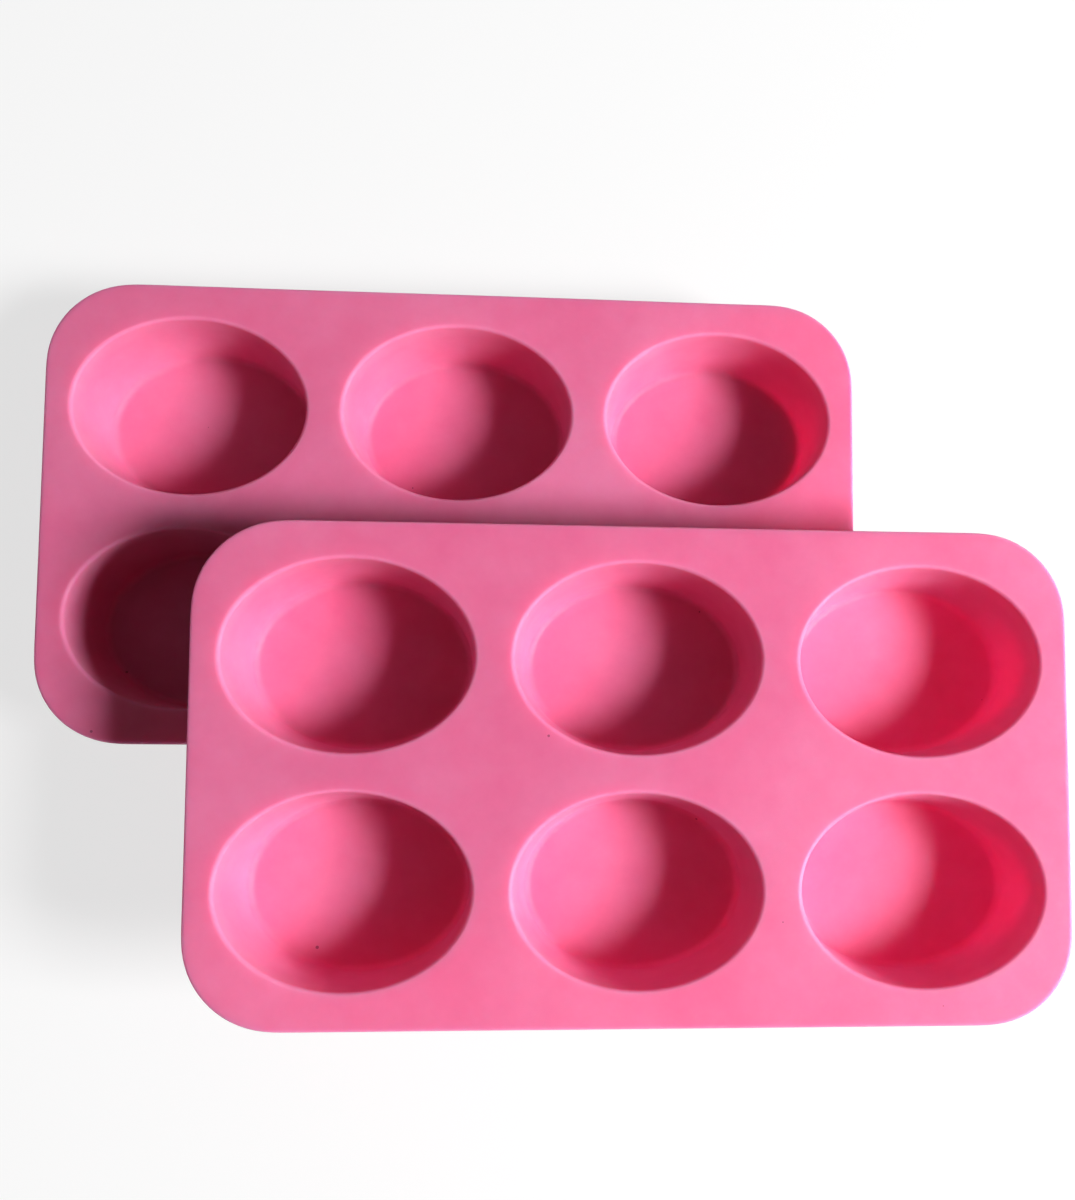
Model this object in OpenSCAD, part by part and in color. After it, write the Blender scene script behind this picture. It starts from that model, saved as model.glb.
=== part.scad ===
// Pair of silicone soap moulds, one lying on the other.
// Each mould is a single soft moulding: a flat sheet with a bead round its edge and
// oval cups hanging under it, open at the top.

/* [Sheet] */
// Length of one mould, left to right
sheet_length = 245; // [180:1:320]
// Width of one mould, front to back
sheet_width = 139; // [110:1:180]
// Thickness of the flat sheet
sheet_thickness = 2.2; // [1.6:0.1:4]
// Radius of the sheet's four corners
corner_radius = 25; // [12:0.5:36]

/* [Rim] */
// Width of the bead under the sheet's edge
rim_width = 3; // [2:0.1:5]
// Depth of the bead, from the top of the sheet
rim_depth = 4.2; // [3.4:0.1:8]
// Radius on the bead's edges
rim_round = 0.7; // [0.3:0.05:0.9]

/* [Cups] */
// Cups in a row, left to right
columns = 3; // [1:1:4]
// Rows of cups, front to back
rows = 2; // [1:1:3]
// Sheet left between the end cups' mouths and the sheet's ends
end_margin = 8; // [6:0.1:20]
// Sheet left between the cups' mouths and the sheet's front and back
side_margin = 10.4; // [6:0.1:20]
// Sheet left between two mouths in a row
column_web = 11; // [6:0.1:20]
// Sheet left between the mouths of two rows
row_web = 10.6; // [6:0.1:20]
// Depth of a cup inside, from the top of the sheet
cup_depth = 26; // [15:0.5:40]
// Slope of a cup's wall, in degrees from upright
draft = 5.5; // [2:0.5:12]
// Thickness of a cup's wall
cup_wall = 2.2; // [1.6:0.1:2.8]
// Thickness of a cup's floor
cup_floor = 2.2; // [1.6:0.1:4]
// Radius inside a cup, where the wall meets the floor
floor_round = 2.5; // [1:0.1:6]
// Radius on the edge of a cup's mouth
mouth_round = 0.8; // [0.3:0.05:1.4]

/* [Pair] */
// How far the upper mould lies to the right of the lower one
shift_right = 54; // [0:1:80]
// How far the upper mould lies in front of the lower one
shift_front = 78; // [0:1:90]
// Gap between the upper mould's cups and the sheet under them
rest_gap = 0.1; // [0:0.05:0.5]

/* [Hidden] */
$fn = 96;

mould_height = cup_depth + cup_floor;
mouth_length = (sheet_length - 2 * end_margin - (columns - 1) * column_web) / columns;
mouth_width = (sheet_width - 2 * side_margin - (rows - 1) * row_web) / rows;
column_pitch = mouth_length + column_web;
row_pitch = mouth_width + row_web;

half_length = mouth_length / 2;
half_width = mouth_width / 2;
// Extra height on cutting shapes and on what they cut, so that they pass right through
cut_over = 1;
// How far a cup's outer foot curves under before it drops straight to the bottom, in degrees
foot_turn = 75;

// Points along a rounded corner, in short straight steps
function corner(centre, radius, from, to, steps) = [
    for (i = [0 : steps])
        let (turn = from + (to - from) * i / steps)
            centre + radius * [cos(turn), sin(turn)]
];

// Where the centre of a wall's rounded foot lies, for a wall of this radius at its top
function foot(radius, depth, round) =
    [radius - (depth - round) * tan(draft) - round / cos(draft), round - depth];

// Outline of the inside of a cup, from its axis to its end, with its mouth rounded over
module hollow_profile() {
    lip = half_length + mouth_round * (1 / cos(draft) - tan(draft));
    polygon(concat(
        [[0, cut_over], [lip, cut_over]],
        corner([lip, -mouth_round], mouth_round, 90, 180 - draft, 3),
        corner(foot(half_length, cup_depth, floor_round), floor_round, -draft, -90, 5),
        [[0, -cup_depth]]
    ));
}

// Outline of the outside of a cup, left long below, where every cup is cut off level
module shell_profile() {
    round = floor_round + cup_wall;
    outer = half_length + cup_wall / cos(draft);
    centre = foot(outer, mould_height, round);
    below = -mould_height - cut_over;
    polygon(concat(
        [[0, 0], [outer, 0]],
        corner(centre, round, -draft, -foot_turn, 4),
        [[centre.x + round * cos(foot_turn), below], [0, below]]
    ));
}

// The inside of a cup, as an oval that tapers to its floor
module cup_hollow() {
    scale([1, half_width / half_length, 1]) rotate_extrude() hollow_profile();
}

// The outside of a cup, one wall thicker all round than the inside
module cup_shell() {
    wall = cup_wall / cos(draft);
    scale([1, (half_width + wall) / (half_length + wall), 1])
        rotate_extrude() shell_profile();
}

module each_cup() {
    for (column = [0 : columns - 1], row = [0 : rows - 1])
        translate([
            (column - (columns - 1) / 2) * column_pitch,
            (row - (rows - 1) / 2) * row_pitch,
            0,
        ]) children();
}

// Section through the sheet and its bead, from a corner's centre outwards
module edge_profile() {
    inner = corner_radius - rim_width + rim_round;
    outer = corner_radius - rim_round;
    polygon(concat(
        [[0, -sheet_thickness], [0, 0]],
        corner([outer, -rim_round], rim_round, 90, 0, 3),
        corner([outer, rim_round - rim_depth], rim_round, 0, -90, 3),
        corner([inner, rim_round - rim_depth], rim_round, -90, -180, 3),
        [[inner - rim_round, -sheet_thickness]]
    ));
}

// The sheet without its cups, its top face at height 0
module sheet() {
    reach_x = sheet_length / 2 - corner_radius;
    reach_y = sheet_width / 2 - corner_radius;
    translate([-reach_x, -reach_y, -sheet_thickness])
        cube([2 * reach_x, 2 * reach_y, sheet_thickness]);
    for (turn = [0, 180]) rotate(turn) {
        translate([0, reach_y, 0]) rotate([90, 0, 90])
            linear_extrude(2 * reach_x, center = true) edge_profile();
        translate([reach_x, 0, 0]) rotate([90, 0, 0])
            linear_extrude(2 * reach_y, center = true) edge_profile();
        for (side = [0, 1])
            translate([(1 - 2 * side) * reach_x, reach_y, 0])
                rotate_extrude(angle = 90, start = 90 * side) edge_profile();
    }
}

// One whole mould, standing on its cups
module mould() {
    translate([0, 0, mould_height]) difference() {
        union() {
            sheet();
            each_cup() cup_shell();
        }
        each_cup() cup_hollow();
        translate([-sheet_length / 2, -sheet_width / 2, -mould_height - 2 * cut_over])
            cube([sheet_length, sheet_width, 2 * cut_over]);
    }
}

module lower_mould() {
    color("#e8709a") translate([-shift_right, shift_front, 0] / 2) mould();
}

module upper_mould() {
    color("#f07aa4") translate([shift_right, -shift_front, 0] / 2)
        translate([0, 0, mould_height + rest_gap]) mould();
}

lower_mould();
upper_mould();
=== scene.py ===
import math
import bmesh
import bpy
from mathutils import Matrix, Vector, noise


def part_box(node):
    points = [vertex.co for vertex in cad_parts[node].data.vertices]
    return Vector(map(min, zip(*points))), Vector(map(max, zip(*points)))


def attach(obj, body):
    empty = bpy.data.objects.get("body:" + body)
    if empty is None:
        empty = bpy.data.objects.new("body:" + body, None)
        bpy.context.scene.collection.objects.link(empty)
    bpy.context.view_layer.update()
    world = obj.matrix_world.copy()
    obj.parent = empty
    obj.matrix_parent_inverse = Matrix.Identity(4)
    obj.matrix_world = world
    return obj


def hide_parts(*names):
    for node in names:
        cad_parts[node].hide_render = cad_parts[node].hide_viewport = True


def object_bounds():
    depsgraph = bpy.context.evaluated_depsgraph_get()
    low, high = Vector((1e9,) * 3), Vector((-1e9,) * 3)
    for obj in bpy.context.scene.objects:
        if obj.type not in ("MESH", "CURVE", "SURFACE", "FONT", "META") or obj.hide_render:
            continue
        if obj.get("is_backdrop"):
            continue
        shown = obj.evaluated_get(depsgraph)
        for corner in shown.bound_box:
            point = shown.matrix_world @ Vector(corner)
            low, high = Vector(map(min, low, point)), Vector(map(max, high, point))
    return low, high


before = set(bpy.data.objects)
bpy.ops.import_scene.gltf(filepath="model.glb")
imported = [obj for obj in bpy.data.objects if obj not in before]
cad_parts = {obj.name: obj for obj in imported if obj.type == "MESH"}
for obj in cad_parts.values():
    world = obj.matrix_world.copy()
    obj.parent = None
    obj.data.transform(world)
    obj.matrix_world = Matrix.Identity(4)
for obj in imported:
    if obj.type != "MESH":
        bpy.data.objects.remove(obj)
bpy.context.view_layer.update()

# Two soft silicone soap moulds, one lying across the other.
# Each is one moulding: a flat sheet, a bead round its edge and oval cups below.

mm = 0.001
touching = 1e-7     # metres, points nearer than this count as being in one place
print("frame loaded")

# one mould; its length, width and height come from the frame
mould = {
    "columns": 3,
    "rows": 2,
    "columnPitch": 80 * mm,
    "rowPitch": 64.4 * mm,
    "mouthLength": 69 * mm,
    "mouthWidth": 53.8 * mm,
    "cupDepth": 26 * mm,
    "draft": math.radians(5.5),
    "cupWall": 2.2 * mm,
    "sheetThickness": 2.2 * mm,
    "cornerRadius": 25 * mm,
    "mouthRound": 1.2 * mm,
    "floorRound": 2.5 * mm,
    "rootRound": 2.0 * mm,      # under the sheet, where a cup's wall leaves it
    "rimWidth": 3 * mm,
    "rimDepth": 4.2 * mm,
    "rimRound": 0.7 * mm,
    "flashHeight": 0.12 * mm,   # faint line round the rim, where the tool's halves met
    "gateRadius": 3.2 * mm,     # shallow dimple under each cup, left by the filling gate
    "gateDepth": 0.35 * mm,
    # outlines of small marks, as shares of their own sizes
    "flashShape": ((0, 0.36), (0.5, 0.42), (1, 0.46), (0.5, 0.5)),      # outwards, down the rim
    "gateShape": ((1.15, 0), (1, 0.4), (0.85, 1), (0.4, 1), (0.3, 0.5), (0.15, 0.45)),  # out, up
    "highlightBand": ((1.2 * mm, 0.0), (0.35 * mm, 0.35)),   # outside a mouth: how far out, and how much painted highlight
    # how finely it is meshed
    "around": 64,               # steps round a mouth, a multiple of 8
    "wallSteps": 4,
    "roundSteps": 4,
    "footSteps": 6,
    "webRings": (0.3, 0.65),    # on the way from the border of a cup's part of the sheet to its mouth
    "floorRings": (0.96, 0.85, 0.68, 0.5, 0.32, 0.15),
    "bottomRings": (0.93, 0.75, 0.5, 0.28),
    # how far the soft sheet lies out of true
    "sheetWave": 0.22 * mm,     # up and down
    "edgeWave": 0.18 * mm,      # sideways, at the edge
    "waveRate": 9,              # how close the waves lie, in each metre
    "edgeWaveRate": 1.3,        # times waveRate
    "waveSpread": 40,           # gives each mould waves of its own
    "edgeDroop": 0.6,           # share of sheetWave that the edge hangs down
    "edgeSharpness": 6,         # higher keeps the droop closer to the edge
}


def arc(centre, radius, start, end, steps):
    # (radius, height) points along a rounded corner, angles in degrees
    points = []
    for i in range(steps + 1):
        turn = math.radians(start + (end - start) * i / steps)
        points.append((centre[0] + radius * math.cos(turn), centre[1] + radius * math.sin(turn)))
    return points


def between(a, b, steps):
    # points strictly between two (radius, height) points
    return [
        (a[0] + (b[0] - a[0]) * i / steps, a[1] + (b[1] - a[1]) * i / steps)
        for i in range(1, steps)
    ]


def footCentre(m, top, depth, rounding):
    # centre of the rounded foot of a wall that has this radius at its top
    drop = (depth - rounding) * math.tan(m["draft"])
    return (top - drop - rounding / math.cos(m["draft"]), rounding - depth)


def hollowProfile(m):
    # inside of a cup from the sheet's top to its middle: (radius along X, height, share of painted edge
    # highlight)
    top = m["mouthLength"] / 2
    draftDegrees = math.degrees(m["draft"])
    lip = top + m["mouthRound"] * (1 / math.cos(m["draft"]) - math.tan(m["draft"]))
    mouth = arc((lip, -m["mouthRound"]), m["mouthRound"], 90, 180 - draftDegrees, m["roundSteps"])
    centre = footCentre(m, top, m["cupDepth"], m["floorRound"])
    foot = arc(centre, m["floorRound"], -draftDegrees, -90, m["footSteps"])
    floor = [(centre[0] * share, -m["cupDepth"]) for share in m["floorRings"]]
    # painted highlight: it fades in outside the mouth, lies full on the mouth's rounding and is gone
    # down the wall
    rows = [(lip + out, 0, pale) for out, pale in m["highlightBand"]]
    rows += [(r, z, 1.0) for r, z in mouth]
    rows += [(r, z, 0.0) for r, z in between(mouth[-1], foot[0], m["wallSteps"]) + foot + floor]
    return rows


def shellProfile(m, height):
    # outside of a cup from the sheet's underside to the middle of its bottom
    top = m["mouthLength"] / 2 + m["cupWall"] / math.cos(m["draft"])
    draftDegrees = math.degrees(m["draft"])
    rootRound = m["rootRound"]
    rootHeight = -m["sheetThickness"] - rootRound
    rootRadius = top + rootHeight * math.tan(m["draft"]) + rootRound / math.cos(m["draft"])
    root = arc((rootRadius, rootHeight), rootRound, 90, 180 - draftDegrees, m["roundSteps"])
    rounding = m["floorRound"] + m["cupWall"]
    centre = footCentre(m, top, height, rounding)
    foot = arc(centre, rounding, -draftDegrees, -90, m["footSteps"])
    flat = [(centre[0] * share, -height) for share in m["bottomRings"]]
    gate = [(m["gateRadius"] * out, m["gateDepth"] * up - height) for out, up in m["gateShape"]]
    wall = between(root[-1], foot[0], m["wallSteps"])
    return [(r, z, 0.0) for r, z in root + wall + foot + flat + gate]


def rimProfile(m):
    # (distance outwards from the sheet's outline, height) from the top face round to the underside
    r, w, d = m["rimRound"], m["rimWidth"], m["rimDepth"]
    under = -m["sheetThickness"]
    rows = arc((-r, -r), r, 90, 0, m["roundSteps"])[1:]
    rows += [(m["flashHeight"] * out, -d * down) for out, down in m["flashShape"]]
    rows += arc((-r, r - d), r, 0, -90, m["roundSteps"])
    rows += arc((r - w, r - d), r, -90, -180, m["roundSteps"])
    rows += [(-w, under - r * 0.5), (-w - r * 0.4, under - r * 0.1)]    # eases into the underside
    return rows


def cupMiddle(m, column, row):
    x = (column - (m["columns"] - 1) / 2) * m["columnPitch"]
    y = (row - (m["rows"] - 1) / 2) * m["rowPitch"]
    return x, y


def cellBorder(m, length, width, column, row):
    # border of the part of the sheet round one cup, with a point for each step round its mouth
    cx, cy = cupMiddle(m, column, row)
    left = cx + length / 2 if column == 0 else m["columnPitch"] / 2
    right = length / 2 - cx if column == m["columns"] - 1 else m["columnPitch"] / 2
    front = cy + width / 2 if row == 0 else m["rowPitch"] / 2
    back = width / 2 - cy if row == m["rows"] - 1 else m["rowPitch"] / 2
    border = []
    for i in range(m["around"]):
        turn = 2 * math.pi * i / m["around"]
        s, t = math.cos(turn), math.sin(turn)
        most = max(abs(s), abs(t))
        x = cx + s / most * (right if s > 0 else left)
        y = cy + t / most * (back if t > 0 else front)
        border.append((x, y))
    return border


def onOutline(m, length, width, point, middle):
    # where a ray from a cup's middle to point crosses the sheet's outline, and the way out from there
    halfX, halfY, radius = length / 2, width / 2, m["cornerRadius"]
    if abs(point.x) > halfX - radius and abs(point.y) > halfY - radius:
        corner = Vector((math.copysign(halfX - radius, point.x), math.copysign(halfY - radius, point.y)))
        ray = (point - middle).normalized()
        offset = middle - corner
        along = ray.dot(offset)
        reach = -along + math.sqrt(along * along - offset.length_squared + radius * radius)
        place = middle + ray * reach
        return place, (place - corner).normalized()
    if abs(abs(point.x) - halfX) < touching:
        return point, Vector((math.copysign(1, point.x), 0))
    return point, Vector((0, math.copysign(1, point.y)))


def addPoint(mesh, place, pale=0.0):
    # pale is the share of painted edge highlight given to this point
    made = mesh.verts.new(place)
    made[mesh.verts.layers.float["edgeHighlightMask"]] = pale
    return made


def sharedPoint(mesh, shared, x, y, z):
    # neighbouring cups share the points where their parts of the sheet meet
    key = (round(x / mm, 3), round(y / mm, 3), round(z / mm, 3))
    if key not in shared:
        shared[key] = addPoint(mesh, (x, y, z))
    return shared[key]


def joinRings(mesh, outer, inner, flip=False):
    for i in range(len(outer)):
        k = (i + 1) % len(outer)
        corners = (outer[i], outer[k], inner[k], inner[i])
        mesh.faces.new(corners[::-1] if flip else corners)


def addCupSide(mesh, m, middle, border, profile, squash, flip):
    # the inside or the outside of a cup, from the border of its part of the sheet to its middle
    count = len(border)
    turns = [2 * math.pi * i / count for i in range(count)]

    def oval(radius, height):
        return [
            Vector((middle[0] + radius * math.cos(a), middle[1] + radius * squash * math.sin(a), height))
            for a in turns
        ]

    first = oval(profile[0][0], profile[0][1])
    rings = [border]
    for share in m["webRings"]:
        rings.append([addPoint(mesh, v.co.lerp(spot, share)) for v, spot in zip(border, first)])
    for radius, height, pale in profile:
        rings.append([addPoint(mesh, spot, pale) for spot in oval(radius, height)])
    for outer, inner in zip(rings, rings[1:]):
        joinRings(mesh, outer, inner, flip)
    last = rings[-1]
    tip = addPoint(mesh, (*middle, profile[-1][1]))
    for i in range(count):
        corners = (last[i], last[(i + 1) % count], tip)
        mesh.faces.new(corners[::-1] if flip else corners)


def addCups(mesh, m, length, width, height):
    # all cups and the sheet between them; gives the points along the sheet's edge,
    # each as (place, way out, point of the top face, point of the underside)
    under = -m["sheetThickness"]
    wall = m["cupWall"] / math.cos(m["draft"])
    squashIn = m["mouthWidth"] / m["mouthLength"]
    squashOut = (m["mouthWidth"] / 2 + wall) / (m["mouthLength"] / 2 + wall)
    shared, edge = {}, {}
    for column in range(m["columns"]):
        for row in range(m["rows"]):
            middle = cupMiddle(m, column, row)
            topRing, underRing = [], []
            for x, y in cellBorder(m, length, width, column, row):
                outer = abs(abs(x) - length / 2) < touching or abs(abs(y) - width / 2) < touching
                if not outer:
                    topRing.append(sharedPoint(mesh, shared, x, y, 0))
                    underRing.append(sharedPoint(mesh, shared, x, y, under))
                    continue
                place, out = onOutline(m, length, width, Vector((x, y)), Vector(middle))
                topPlace = place - out * m["rimRound"]
                underPlace = place - out * (m["rimWidth"] + m["rimRound"])
                topRing.append(sharedPoint(mesh, shared, topPlace.x, topPlace.y, 0))
                underRing.append(sharedPoint(mesh, shared, underPlace.x, underPlace.y, under))
                key = (round(place.x / mm, 3), round(place.y / mm, 3))
                edge[key] = (place, out, topRing[-1], underRing[-1])
            addCupSide(mesh, m, middle, topRing, hollowProfile(m), squashIn, False)
            addCupSide(mesh, m, middle, underRing, shellProfile(m, height), squashOut, True)
    return sorted(edge.values(), key=lambda e: math.atan2(e[0].y / width, e[0].x / length))


def addRim(mesh, m, edge):
    # bead round the edge, from the top face's points there round to the underside's
    previous = [point[2] for point in edge]
    for distance, height in rimProfile(m):
        # the bead's rounded top edge takes the painted highlight
        pale = 1.0 if height > -m["rimRound"] - touching else 0.0
        ring = []
        for point in edge:
            spot = point[0] + point[1] * distance
            ring.append(addPoint(mesh, (spot.x, spot.y, height), pale))
        joinRings(mesh, ring, previous)
        previous = ring
    joinRings(mesh, [point[3] for point in edge], previous)


def bendSheet(mesh, m, length, width, height, origin):
    # soft sheets never lie dead flat or dead straight; the cups' bottoms stay on their surface
    seed = Vector((origin.x, origin.y, 0)) * m["waveSpread"]
    alongX, alongY = Vector((7, 0, 0)), Vector((0, 9, 0))   # keep the two sideways waves unlike
    for v in mesh.verts:
        spot = v.co * m["waveRate"] + seed
        side = spot * m["edgeWaveRate"]
        hold = max(0.0, 1 + v.co.z / height)
        edge = max(abs(v.co.x) / (length / 2), abs(v.co.y) / (width / 2)) ** m["edgeSharpness"]
        v.co.z += m["sheetWave"] * hold * (noise.noise(spot) - m["edgeDroop"] * edge)
        v.co.x += m["edgeWave"] * noise.noise(side + alongX) * edge
        v.co.y += m["edgeWave"] * noise.noise(side + alongY) * edge


def buildMould(name, node, m):
    low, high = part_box(node)
    length, width, height = high - low
    origin = Vector(((low.x + high.x) / 2, (low.y + high.y) / 2, high.z))
    mesh = bmesh.new()
    # each point's share of the painted edge highlight
    mesh.verts.layers.float.new("edgeHighlightMask")
    edge = addCups(mesh, m, length, width, height)
    addRim(mesh, m, edge)
    bendSheet(mesh, m, length, width, height, origin)
    bmesh.ops.translate(mesh, verts=mesh.verts, vec=origin)
    bmesh.ops.recalc_face_normals(mesh, faces=mesh.faces)
    data = bpy.data.meshes.new(name)
    mesh.to_mesh(data)
    mesh.free()
    for polygon in data.polygons:
        polygon.use_smooth = True
    piece = bpy.data.objects.new(name, data)
    bpy.context.scene.collection.objects.link(piece)
    finer = piece.modifiers.new("finer", "SUBSURF")
    finer.levels = finer.render_levels = 1
    print("built", name, len(data.vertices), "points")
    return piece


# camera, above the upper mould and a little towards its left end
camera = {
    "lens": 33.56,              # on a 36 mm sensor
    "above": Vector((-20.6, -3.9, 309.0)) * mm,     # from the middle of the upper mould's top
    "aim": Vector((-0.5, 17.6, 0)) * mm,            # from the same place
    "turn": math.radians(0.4945),                   # anticlockwise, seen from above
    "shift": (-0.083, 0.092),
    "clip": (0.01, 20),
}


def placeCamera(c):
    low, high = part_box("upper_mould")
    top = Vector(((low.x + high.x) / 2, (low.y + high.y) / 2, high.z))
    data = bpy.data.cameras.new("camera")
    data.lens = c["lens"]
    data.shift_x, data.shift_y = c["shift"]
    data.clip_start, data.clip_end = c["clip"]
    eye = top + c["above"]
    back = (eye - (top + c["aim"])).normalized()
    level = Vector((math.cos(c["turn"]), math.sin(c["turn"]), 0))
    right = (level - back * level.dot(back)).normalized()
    up = back.cross(right)
    view = bpy.data.objects.new("camera", data)
    view.matrix_world = Matrix.Translation(eye) @ Matrix((right, up, back)).transposed().to_4x4()
    bpy.context.scene.collection.objects.link(view)
    bpy.context.scene.camera = view


placeCamera(camera)
print("camera placed")


# shader helpers
def newGroup(name, inputs, outputs):
    tree = bpy.data.node_groups.new(name, "ShaderNodeTree")
    for socket, kind, value in inputs:
        made = tree.interface.new_socket(socket, in_out="INPUT", socket_type=kind)
        if value is not None:
            made.default_value = value
    for socket, kind in outputs:
        tree.interface.new_socket(socket, in_out="OUTPUT", socket_type=kind)
    return tree, tree.nodes.new("NodeGroupInput"), tree.nodes.new("NodeGroupOutput")


def addNode(tree, kind, **settings):
    made = tree.nodes.new(kind)
    for setting, value in settings.items():
        setattr(made, setting, value)
    return made


def feed(tree, value, socket):
    # another node's output is linked, and a number or a colour is set on the socket itself
    if isinstance(value, bpy.types.NodeSocket):
        tree.links.new(value, socket)
    else:
        socket.default_value = value


def addMath(tree, operation, a, b, clamp=False):
    made = addNode(tree, "ShaderNodeMath", operation=operation, use_clamp=clamp)
    feed(tree, a, made.inputs[0])
    feed(tree, b, made.inputs[1])
    return made.outputs[0]


def addRange(tree, value, low, high, toLow, toHigh):
    made = addNode(tree, "ShaderNodeMapRange", clamp=True)
    feed(tree, value, made.inputs["Value"])
    feed(tree, low, made.inputs["From Min"])
    feed(tree, high, made.inputs["From Max"])
    feed(tree, toLow, made.inputs["To Min"])
    feed(tree, toHigh, made.inputs["To Max"])
    return made.outputs["Result"]


def addNoise(tree, place, scale, detail, roughness=0.5):
    # scale is roughly how many patches lie along a metre
    made = addNode(tree, "ShaderNodeTexNoise")
    feed(tree, place, made.inputs["Vector"])
    feed(tree, scale, made.inputs["Scale"])
    feed(tree, detail, made.inputs["Detail"])
    feed(tree, roughness, made.inputs["Roughness"])
    return made.outputs["Fac"]


def cloudGroup():
    # uneven pigment: broad clouds with finer streaks in them
    tree, source, result = newGroup(
        "pigmentClouds",
        [("Place", "NodeSocketVector", None), ("Depth", "NodeSocketFloat", 1.0)],
        [("Cloud", "NodeSocketFloat")],
    )
    place = source.outputs["Place"]
    broadShare = 0.7
    broad = addMath(tree, "MULTIPLY", addNoise(tree, place, 22, 3), broadShare)
    fine = addMath(tree, "MULTIPLY", addNoise(tree, place, 130, 4, 0.6), 1 - broadShare)
    centred = addMath(tree, "SUBTRACT", addMath(tree, "ADD", broad, fine), 0.5)
    feed(tree, addMath(tree, "MULTIPLY", centred, source.outputs["Depth"]), result.inputs["Cloud"])
    return tree


def grainGroup():
    # the fine blasted texture that the steel tool leaves on silicone
    tree, source, result = newGroup(
        "toolGrain",
        [("Place", "NodeSocketVector", None), ("Fine", "NodeSocketFloat", 0.4),
         ("Coarse", "NodeSocketFloat", 0.5), ("Ripple", "NodeSocketFloat", 1.6)],
        [("Height", "NodeSocketFloat"), ("Polish", "NodeSocketFloat")],
    )
    place = source.outputs["Place"]
    fine = addMath(tree, "MULTIPLY", addNoise(tree, place, 2600, 2, 0.6), source.outputs["Fine"])
    coarse = addMath(tree, "MULTIPLY", addNoise(tree, place, 900, 2), source.outputs["Coarse"])
    ripple = addMath(tree, "MULTIPLY", addNoise(tree, place, 60, 2), source.outputs["Ripple"])
    height = addMath(tree, "ADD", addMath(tree, "ADD", fine, coarse), ripple)
    feed(tree, height, result.inputs["Height"])
    polish = addRange(tree, addNoise(tree, place, 35, 4, 0.55), 0.35, 0.7, 0, 1)
    feed(tree, polish, result.inputs["Polish"])
    return tree


def dustGroup():
    # sparse specks of lint and dust that lie on faces that look up
    tree, source, result = newGroup(
        "clingingDust",
        [("Place", "NodeSocketVector", None), ("Upward", "NodeSocketFloat", 1.0),
         ("Level", "NodeSocketFloat", 0.7), ("Spacing", "NodeSocketFloat", 60.0),
         ("Size", "NodeSocketFloat", 0.03), ("Share", "NodeSocketFloat", 0.2)],
        [("Speck", "NodeSocketFloat")],
    )
    cells = addNode(tree, "ShaderNodeTexVoronoi", feature="F1", voronoi_dimensions="2D")
    feed(tree, source.outputs["Place"], cells.inputs["Vector"])
    feed(tree, source.outputs["Spacing"], cells.inputs["Scale"])
    chance = addNode(tree, "ShaderNodeSeparateColor")
    feed(tree, cells.outputs["Color"], chance.inputs["Color"])
    picked = addMath(tree, "LESS_THAN", chance.outputs["Red"], source.outputs["Share"])
    size = addMath(tree, "MULTIPLY", chance.outputs["Green"], source.outputs["Size"])
    inside = addMath(tree, "LESS_THAN", cells.outputs["Distance"], size)
    level = addMath(tree, "GREATER_THAN", source.outputs["Upward"], source.outputs["Level"])
    speck = addMath(tree, "MULTIPLY", addMath(tree, "MULTIPLY", inside, picked), level)
    feed(tree, speck, result.inputs["Speck"])
    return tree


cloudTree, grainTree, dustTree = cloudGroup(), grainGroup(), dustGroup()
print("texture groups made")

silicone = {
    "deep": (0.83, 0.162, 0.335),       # pigment where it is thickest
    "pale": (0.90, 0.23, 0.42),
    # paler colour painted on the rounded mouth and bead edges as a highlight
    "edge": (0.96, 0.36, 0.52),
    "edgeHighlightShare": 0.18,                  # how much of that paler colour is painted on the mouth and bead edges as a highlight
    "cloudDepth": 3.2,
    "roughness": 0.5,
    "polishSpread": (-0.05, 0.06),      # smoothest and roughest patches, from roughness
    "gloss": 0.32,
    "bending": 1.41,                    # silicone's index of refraction
    "scatterWeight": 1.0,
    "scatterRadius": (1.0, 0.6, 0.8),
    "scatterScale": 5 * mm,
    "grainHeight": 0.04 * mm,
    "grainStrength": 0.5,
    "grainCoarse": 0.6,
    "dust": (0.12, 0.03, 0.04),
    "dustShare": 0.6,                   # how much a speck hides the silicone
    "dustRoughness": 0.3,               # added where a speck lies
    "dustCells": {"Spacing": 45.0, "Size": 0.022, "Share": 0.14},
}


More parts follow.
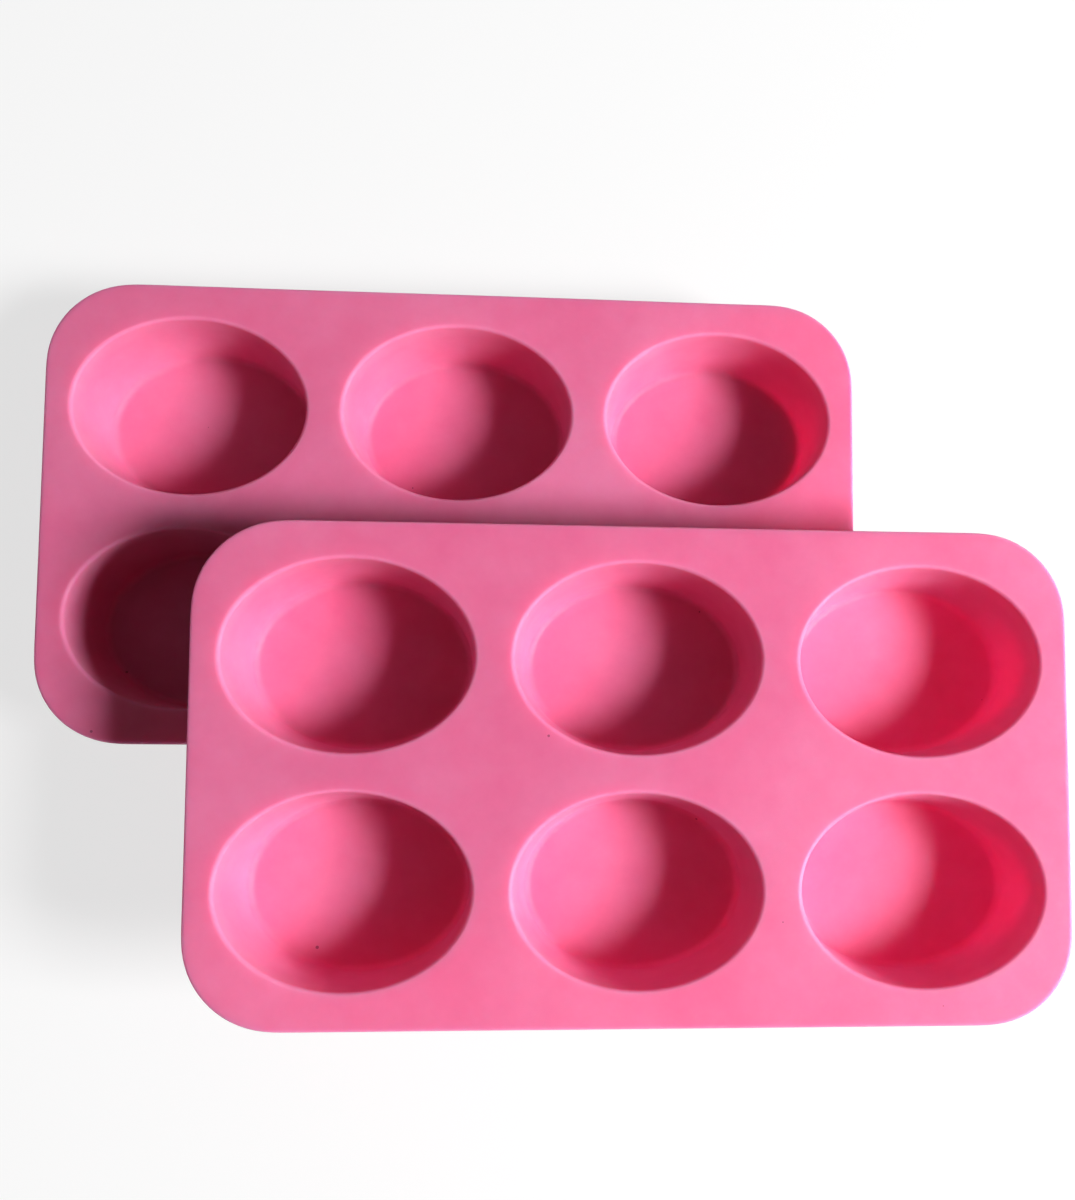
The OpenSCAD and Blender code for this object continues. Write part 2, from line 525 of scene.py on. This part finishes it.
def siliconeMaterial(name, s, shade):
    material = bpy.data.materials.new(name)
    material.use_nodes = True
    tree = material.node_tree
    shader = tree.nodes["Principled BSDF"]
    place = addNode(tree, "ShaderNodeTexCoord").outputs["Object"]

    def texture(group, **values):
        made = addNode(tree, "ShaderNodeGroup", node_tree=group)
        feed(tree, place, made.inputs["Place"])
        for socket, value in values.items():
            feed(tree, value, made.inputs[socket])
        return made.outputs

    def mixColour(factor, first, second):
        made = addNode(tree, "ShaderNodeMix", data_type="RGBA")
        feed(tree, factor, made.inputs["Factor"])
        feed(tree, first, made.inputs[6])       # the colour sockets of a Mix node
        feed(tree, second, made.inputs[7])
        return made.outputs[2]

    def tint(colour):
        return (*[part * shade for part in s[colour]], 1)

    facing = addNode(tree, "ShaderNodeSeparateXYZ")
    feed(tree, addNode(tree, "ShaderNodeNewGeometry").outputs["Normal"], facing.inputs[0])
    cloud = texture(cloudTree, Depth=s["cloudDepth"])["Cloud"]
    grain = texture(grainTree, Coarse=s["grainCoarse"])
    speck = texture(dustTree, Upward=facing.outputs["Z"], **s["dustCells"])["Speck"]
    # painted highlight: the edges' mask mixes in the paler edge colour
    edge = addNode(tree, "ShaderNodeAttribute", attribute_name="edgeHighlightMask").outputs["Fac"]
    colour = mixColour(addMath(tree, "ADD", cloud, 0.5, clamp=True), tint("deep"), tint("pale"))
    colour = mixColour(addMath(tree, "MULTIPLY", edge, s["edgeHighlightShare"]), colour, tint("edge"))
    colour = mixColour(addMath(tree, "MULTIPLY", speck, s["dustShare"]), colour, tint("dust"))
    feed(tree, colour, shader.inputs["Base Color"])

    smoothest, roughest = [s["roughness"] + spread for spread in s["polishSpread"]]
    polish = addRange(tree, grain["Polish"], 0, 1, smoothest, roughest)
    dusty = addMath(tree, "MULTIPLY", speck, s["dustRoughness"])
    feed(tree, addMath(tree, "ADD", polish, dusty), shader.inputs["Roughness"])
    bump = addNode(tree, "ShaderNodeBump")
    feed(tree, s["grainStrength"], bump.inputs["Strength"])
    feed(tree, s["grainHeight"], bump.inputs["Distance"])
    feed(tree, grain["Height"], bump.inputs["Height"])
    feed(tree, bump.outputs["Normal"], shader.inputs["Normal"])

    shader.inputs["IOR"].default_value = s["bending"]
    shader.inputs["Specular IOR Level"].default_value = s["gloss"]
    shader.inputs["Subsurface Weight"].default_value = s["scatterWeight"]
    shader.inputs["Subsurface Radius"].default_value = s["scatterRadius"]
    shader.inputs["Subsurface Scale"].default_value = s["scatterScale"]
    return material


for node, body, shade in (("lower_mould", "lower", 0.98), ("upper_mould", "upper", 1.0)):
    piece = buildMould(node + "_silicone", node, mould)
    piece.data.materials.append(siliconeMaterial(node + "_silicone", silicone, shade))
    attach(piece, body)
    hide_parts(node)
print("moulds in place")

# stage: pale floor, one soft window-like light from the right, dim walls
stage = {
    "floorColour": (0.9, 0.9, 0.9),
    "floorRoughness": 0.9,
    "floorHalf": 6.0,
    "floorDrop": 0.2 * mm,              # a hair under the cups, so that the two don't share a surface
    "floorGlow": 0.72,
    "keyPlace": Vector((1.12, -0.32, 0.84)),    # the lights' places are from the top of the pair
    "keySize": (0.44, 0.42),
    "keyPower": 36,
    "fillPlace": Vector((-0.9, 0.5, 0.7)),
    "fillSize": (1.2, 1.2),
    "fillPower": 0.2,
    "roomTint": (1, 0.98, 0.97),
    "wallGlow": 0.12,
    "ceilingGlow": 0.05,
    "wallTop": 0.1,                     # how steeply up the walls' light ends, and the ceiling's starts
    "ceilingStart": 0.8,
    "backdrop": 0.88,
}


def paperMaterial(s):
    paint = bpy.data.materials.new("floorPaint")
    paint.use_nodes = True
    tree = paint.node_tree
    shader = tree.nodes["Principled BSDF"]
    shader.inputs["Base Color"].default_value = (*s["floorColour"], 1)
    shader.inputs["Roughness"].default_value = s["floorRoughness"]

    def mixShaders(factor, first, second):
        made = addNode(tree, "ShaderNodeMixShader")
        for value, socket in zip((factor, first, second), made.inputs):
            tree.links.new(value, socket)
        return made.outputs[0]

    # the paper glows for the camera alone, so that it looks white without lighting the moulds
    white = addNode(tree, "ShaderNodeEmission").outputs[0]
    seen = addNode(tree, "ShaderNodeLightPath").outputs["Is Camera Ray"]
    paper = mixShaders(addMath(tree, "MULTIPLY", seen, s["floorGlow"]), shader.outputs[0], white)
    # seen from underneath it is clear, so that the cups' bottoms can be looked at
    clear = addNode(tree, "ShaderNodeBsdfTransparent").outputs[0]
    behind = addNode(tree, "ShaderNodeNewGeometry").outputs["Backfacing"]
    surface = mixShaders(behind, paper, clear)
    tree.links.new(surface, tree.nodes["Material Output"].inputs["Surface"])
    return paint


def layFloor(s, height):
    half, z = s["floorHalf"], height - s["floorDrop"]
    corners = [(-half, -half, z), (half, -half, z), (half, half, z), (-half, half, z)]
    paper = bpy.data.meshes.new("floor")
    paper.from_pydata(corners, [], [(0, 1, 2, 3)])
    paper.materials.append(paperMaterial(s))
    floor = bpy.data.objects.new("floor", paper)
    bpy.context.scene.collection.objects.link(floor)
    floor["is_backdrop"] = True


def hangLight(name, target, place, size, power):
    data = bpy.data.lights.new(name, "AREA")
    data.shape = "RECTANGLE"
    data.size, data.size_y = size
    data.energy = power
    lamp = bpy.data.objects.new(name, data)
    lamp.location = target + place
    lamp.rotation_mode = "QUATERNION"
    lamp.rotation_quaternion = (-place).to_track_quat("-Z", "Y")
    bpy.context.scene.collection.objects.link(lamp)


def paintRoom(s):
    world = bpy.data.worlds.new("room")
    world.use_nodes = True
    tree = world.node_tree
    background = tree.nodes["Background"]
    split = addNode(tree, "ShaderNodeSeparateXYZ")
    feed(tree, addNode(tree, "ShaderNodeTexCoord").outputs["Generated"], split.inputs[0])
    height = split.outputs["Z"]
    glow = addRange(tree, height, s["wallTop"], s["ceilingStart"], s["wallGlow"], s["ceilingGlow"])
    # the walls look pale but light the moulds only dimly
    seen = addNode(tree, "ShaderNodeLightPath").outputs["Is Camera Ray"]
    strength = addMath(tree, "MAXIMUM", glow, addMath(tree, "MULTIPLY", seen, s["backdrop"]))
    feed(tree, strength, background.inputs["Strength"])
    background.inputs["Color"].default_value = (*s["roomTint"], 1)
    bpy.context.scene.world = world
    bpy.context.scene.view_settings.view_transform = "Standard"


def buildStage(s):
    low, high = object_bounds()
    target = Vector((0, 0, high.z))
    layFloor(s, low.z)
    hangLight("windowLight", target, s["keyPlace"], s["keySize"], s["keyPower"])
    hangLight("fillLight", target, s["fillPlace"], s["fillSize"], s["fillPower"])
    paintRoom(s)


buildStage(stage)
print("stage lit")
